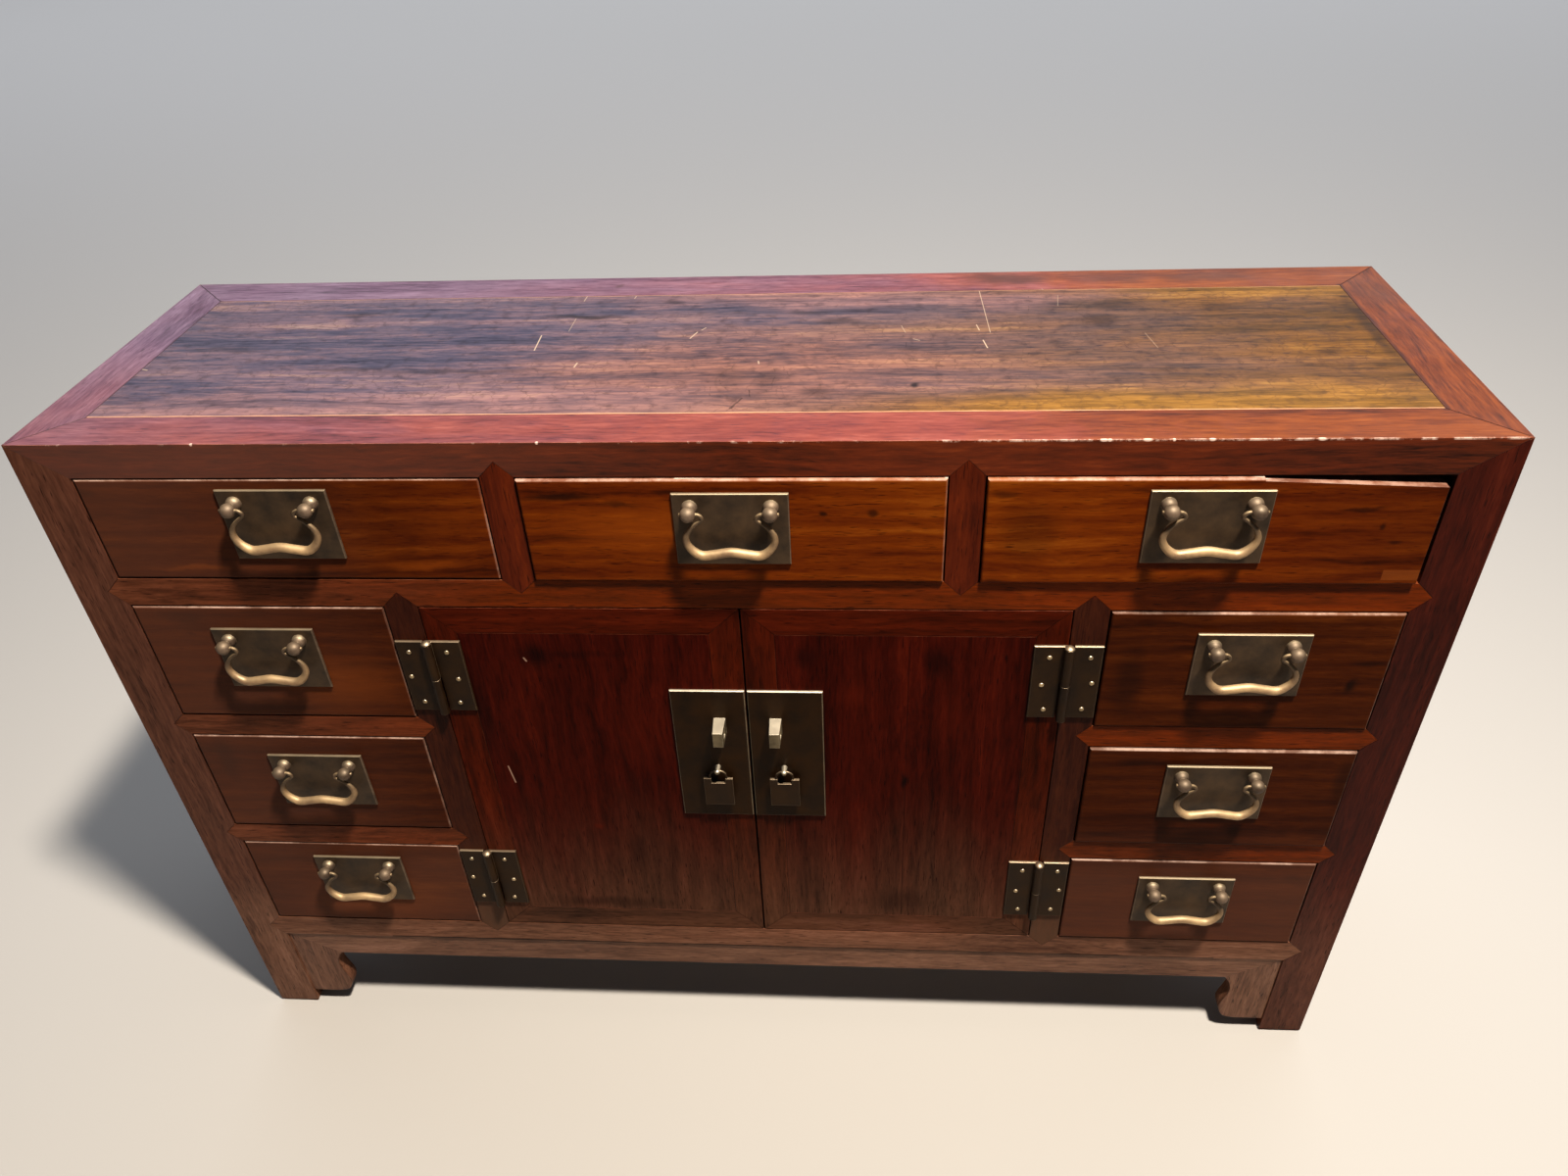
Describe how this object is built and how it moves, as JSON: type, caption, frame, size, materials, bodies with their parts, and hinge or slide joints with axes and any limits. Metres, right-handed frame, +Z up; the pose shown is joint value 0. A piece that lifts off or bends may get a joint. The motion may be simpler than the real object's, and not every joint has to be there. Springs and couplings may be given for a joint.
{
  "type": "chinese sideboard cabinet",
  "caption": "Low wooden Chinese sideboard with drawers around a cupboard, mitred frame with pointed joints, floating panels, brass bail pulls, face hinges and lock plates.",
  "frame": {"origin": "on the floor, under the middle of the whole piece with its metalwork", "axes": "+X to the right as seen from the front, -Y out of the front (drawers and doors face -Y), +Z up"},
  "size_m": [1.4, 0.431, 0.895],
  "materials": {
    "frame_wood": "worn satin varnish over dark red-brown stain",
    "top_frame_wood": "worn satin varnish, reddish",
    "top_panel_wood": "old varnish, streaked golden and dark, scratched",
    "door_wood": "satin varnish over very dark red-brown stain",
    "drawer_wood": "satin varnish, orange-brown",
    "inner_wood": "bare or thinly stained, dry",
    "back_wood": "thinly stained, dry",
    "dark_brass": "dark olive-brown patina, satin",
    "bail_brass": "worn satin, polished by hands along the grip"
  },
  "bodies": {
    "cabinet": {"corner_posts": "frame_wood", "top_frame": "top_frame_wood", "top_panel": "top_panel_wood", "front_rails": "frame_wood", "front_dividers": "frame_wood", "side_and_back_rails": "frame_wood", "side_panels": "frame_wood", "back_panels": "back_wood", "base_board": "inner_wood", "partitions": "inner_wood", "drawer_runners": "inner_wood", "aprons": "frame_wood", "frame_hinge_leaves": "dark_brass"},
    "left_door": {"left_door_frame": "door_wood", "left_door_panel": "door_wood", "left_door_hinge_leaves": "dark_brass", "left_lock_plate": "dark_brass"},
    "left_tab": {"left_pull_tab": "dark_brass"},
    "right_door": {"right_door_frame": "door_wood", "right_door_panel": "door_wood", "right_door_hinge_leaves": "dark_brass", "right_lock_plate": "dark_brass"},
    "right_tab": {"right_pull_tab": "dark_brass"},
    "top_left_drawer": {"top_left_front": "drawer_wood", "top_left_box": "inner_wood", "top_left_plate": "dark_brass"},
    "top_left_pull": {"top_left_bail": "bail_brass"},
    "top_middle_drawer": {"top_middle_front": "drawer_wood", "top_middle_box": "inner_wood", "top_middle_plate": "dark_brass"},
    "top_middle_pull": {"top_middle_bail": "bail_brass"},
    "top_right_drawer": {"top_right_front": "drawer_wood", "top_right_box": "inner_wood", "top_right_plate": "dark_brass"},
    "top_right_pull": {"top_right_bail": "bail_brass"},
    "left_upper_drawer": {"left_upper_front": "drawer_wood", "left_upper_box": "inner_wood", "left_upper_plate": "dark_brass"},
    "left_upper_pull": {"left_upper_bail": "bail_brass"},
    "left_middle_drawer": {"left_middle_front": "drawer_wood", "left_middle_box": "inner_wood", "left_middle_plate": "dark_brass"},
    "left_middle_pull": {"left_middle_bail": "bail_brass"},
    "left_lower_drawer": {"left_lower_front": "drawer_wood", "left_lower_box": "inner_wood", "left_lower_plate": "dark_brass"},
    "left_lower_pull": {"left_lower_bail": "bail_brass"},
    "right_upper_drawer": {"right_upper_front": "drawer_wood", "right_upper_box": "inner_wood", "right_upper_plate": "dark_brass"},
    "right_upper_pull": {"right_upper_bail": "bail_brass"},
    "right_middle_drawer": {"right_middle_front": "drawer_wood", "right_middle_box": "inner_wood", "right_middle_plate": "dark_brass"},
    "right_middle_pull": {"right_middle_bail": "bail_brass"},
    "right_lower_drawer": {"right_lower_front": "drawer_wood", "right_lower_box": "inner_wood", "right_lower_plate": "dark_brass"},
    "right_lower_pull": {"right_lower_bail": "bail_brass"}
  },
  "joints": [
    {"name": "top_left_slide", "type": "slide", "parent": "cabinet", "child": "top_left_drawer", "axis": [0, -1, 0], "range_m": [0, 0.24]},
    {"name": "top_middle_slide", "type": "slide", "parent": "cabinet", "child": "top_middle_drawer", "axis": [0, -1, 0], "range_m": [0, 0.24]},
    {"name": "top_right_slide", "type": "slide", "parent": "cabinet", "child": "top_right_drawer", "axis": [0, -1, 0], "range_m": [0, 0.24]},
    {"name": "left_upper_slide", "type": "slide", "parent": "cabinet", "child": "left_upper_drawer", "axis": [0, -1, 0], "range_m": [0, 0.24]},
    {"name": "left_middle_slide", "type": "slide", "parent": "cabinet", "child": "left_middle_drawer", "axis": [0, -1, 0], "range_m": [0, 0.24]},
    {"name": "left_lower_slide", "type": "slide", "parent": "cabinet", "child": "left_lower_drawer", "axis": [0, -1, 0], "range_m": [0, 0.24]},
    {"name": "right_upper_slide", "type": "slide", "parent": "cabinet", "child": "right_upper_drawer", "axis": [0, -1, 0], "range_m": [0, 0.24]},
    {"name": "right_middle_slide", "type": "slide", "parent": "cabinet", "child": "right_middle_drawer", "axis": [0, -1, 0], "range_m": [0, 0.24]},
    {"name": "right_lower_slide", "type": "slide", "parent": "cabinet", "child": "right_lower_drawer", "axis": [0, -1, 0], "range_m": [0, 0.24]},
    {"name": "top_left_bail_swing", "type": "hinge", "parent": "top_left_drawer", "child": "top_left_pull", "pos_m": [-0.45025, -0.204, 0.832], "axis": [-1, 0, 0], "range_deg": [-10, 170]},
    {"name": "top_middle_bail_swing", "type": "hinge", "parent": "top_middle_drawer", "child": "top_middle_pull", "pos_m": [-0.0045, -0.207, 0.829], "axis": [-1, 0, 0], "range_deg": [-10, 170]},
    {"name": "top_right_bail_swing", "type": "hinge", "parent": "top_right_drawer", "child": "top_right_pull", "pos_m": [0.43675, -0.208, 0.832], "axis": [-1, 0, 0], "range_deg": [-10, 170]},
    {"name": "left_upper_bail_swing", "type": "hinge", "parent": "left_upper_drawer", "child": "left_upper_pull", "pos_m": [-0.513, -0.2045, 0.66125], "axis": [-1, 0, 0], "range_deg": [-10, 170]},
    {"name": "left_middle_bail_swing", "type": "hinge", "parent": "left_middle_drawer", "child": "left_middle_pull", "pos_m": [-0.51, -0.2045, 0.4755], "axis": [-1, 0, 0], "range_deg": [-10, 170]},
    {"name": "left_lower_bail_swing", "type": "hinge", "parent": "left_lower_drawer", "child": "left_lower_pull", "pos_m": [-0.507, -0.204, 0.29925], "axis": [-1, 0, 0], "range_deg": [-10, 170]},
    {"name": "right_upper_bail_swing", "type": "hinge", "parent": "right_upper_drawer", "child": "right_upper_pull", "pos_m": [0.5075, -0.206, 0.66425], "axis": [-1, 0, 0], "range_deg": [-10, 170]},
    {"name": "right_middle_bail_swing", "type": "hinge", "parent": "right_middle_drawer", "child": "right_middle_pull", "pos_m": [0.5055, -0.207, 0.4815], "axis": [-1, 0, 0], "range_deg": [-10, 170]},
    {"name": "right_lower_bail_swing", "type": "hinge", "parent": "right_lower_drawer", "child": "right_lower_pull", "pos_m": [0.5025, -0.205, 0.29425], "axis": [-1, 0, 0], "range_deg": [-10, 170]},
    {"name": "left_door_swing", "type": "hinge", "parent": "cabinet", "child": "left_door", "pos_m": [-0.3374, -0.1925, 0.446], "axis": [0, 0, 1], "range_deg": [-165, 0]},
    {"name": "right_door_swing", "type": "hinge", "parent": "cabinet", "child": "right_door", "pos_m": [0.3284, -0.1925, 0.446], "axis": [0, 0, -1], "range_deg": [-165, 0]},
    {"name": "left_tab_swing", "type": "hinge", "parent": "left_door", "child": "left_tab", "pos_m": [-0.042, -0.196, 0.482], "axis": [-1, 0, 0], "range_deg": [-3, 100]},
    {"name": "right_tab_swing", "type": "hinge", "parent": "right_door", "child": "right_tab", "pos_m": [0.033, -0.196, 0.482], "axis": [-1, 0, 0], "range_deg": [-3, 100]}
  ]
}
